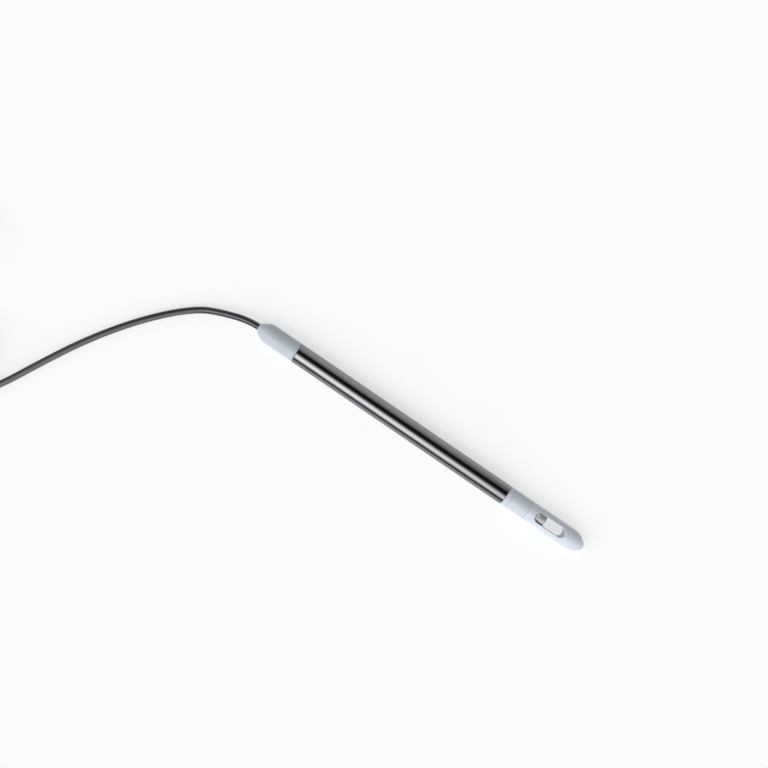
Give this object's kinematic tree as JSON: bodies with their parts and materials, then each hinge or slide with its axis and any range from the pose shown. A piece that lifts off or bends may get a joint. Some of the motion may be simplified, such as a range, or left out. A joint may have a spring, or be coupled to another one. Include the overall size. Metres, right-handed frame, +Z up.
{
  "type": "dissolved oxygen sensor",
  "caption": "Slim dissolved oxygen probe: steel shaft, white boot and collar, slotted screw-off guard over a metal sensing cap, fixed cord to a round screw plug.",
  "frame": {"origin": "on the table under the middle of the probe, which lies on its side", "axes": "+X along the shaft towards the guard's tip, +Z up, so the guard's slot runs through along Z"},
  "size_m": [0.4037, 0.1555, 0.0146],
  "materials": {
    "shaft_steel": "polished along its length",
    "white_moulding": "satin, cool white",
    "seal_rubber": "smooth",
    "crimp_metal": "satin",
    "cord_jacket": "satin, blue-black",
    "head_metal": "turned",
    "pin_metal": "polished",
    "clear_glass": "polished",
    "foil_black": "matt",
    "optics_black": "matt",
    "lamp_blue": "clear",
    "lamp_red": "clear",
    "detector_metal": "plated",
    "filter_red": "polished",
    "board_green": "solder resist",
    "cradle_grey": "moulded",
    "chip_black": "moulded",
    "capacitor_ochre": "moulded",
    "spring_bronze": "rolled",
    "wire_insulation": "smooth",
    "strap_fabric": "hook-and-loop strap",
    "plug_rubber": "satin",
    "plug_plastic": "fine moulded texture",
    "nut_nickel": "nickel plated, satin",
    "insert_black": "moulded",
    "contact_gold": "gold plated"
  },
  "bodies": {
    "root": {"shaft_tube": "shaft_steel", "cable_boot": "white_moulding", "boot_seal": "seal_rubber", "cord_seal": "seal_rubber", "cord_ferrule": "crimp_metal", "cord_stub": "cord_jacket", "shaft_collar": "white_moulding", "collar_seal": "seal_rubber", "sensor_head": "head_metal", "head_seal": "seal_rubber", "temperature_pin": "pin_metal", "light_guide": "clear_glass", "cap_seal": "seal_rubber", "optics_block": "optics_black", "measuring_lamp": "lamp_blue", "reference_lamp": "lamp_red", "light_detector": "detector_metal", "colour_filter": "filter_red", "optics_board": "board_green", "board_cradle": "cradle_grey", "circuit_board": "board_green", "controller_chip": "chip_black", "amplifier_chip": "chip_black", "driver_chip": "chip_black", "crystal": "detector_metal", "capacitors": "capacitor_ochre", "ground_spring": "spring_bronze", "board_header": "optics_black", "board_link": "optics_black", "signal_wires": "wire_insulation", "cable_lead": "cord_jacket", "cable_coil": "cord_jacket", "cable_tail": "cord_jacket", "coil_tie": "strap_fabric", "strain_relief": "plug_rubber", "plug_body": "plug_plastic", "contact_insert": "insert_black", "contacts": "contact_gold"},
    "guard": {"guard": "white_moulding"},
    "sensing_cap": {"sensing_cap": "head_metal", "sensing_foil": "foil_black"},
    "coupling_nut": {"coupling_nut": "nut_nickel", "plug_seal": "seal_rubber"}
  },
  "joints": [
    {"name": "guard_slide", "type": "slide", "parent": "root", "child": "guard", "axis": [1, 0, 0], "range_m": [0, 0.045]},
    {"name": "cap_slide", "type": "slide", "parent": "root", "child": "sensing_cap", "axis": [1, 0, 0], "range_m": [0, 0.008]},
    {"name": "nut_turn", "type": "hinge", "parent": "root", "child": "coupling_nut", "pos_m": [-0.2845, -0.0875, 0.0073], "axis": [0, 1, 0], "continuous": true}
  ]
}
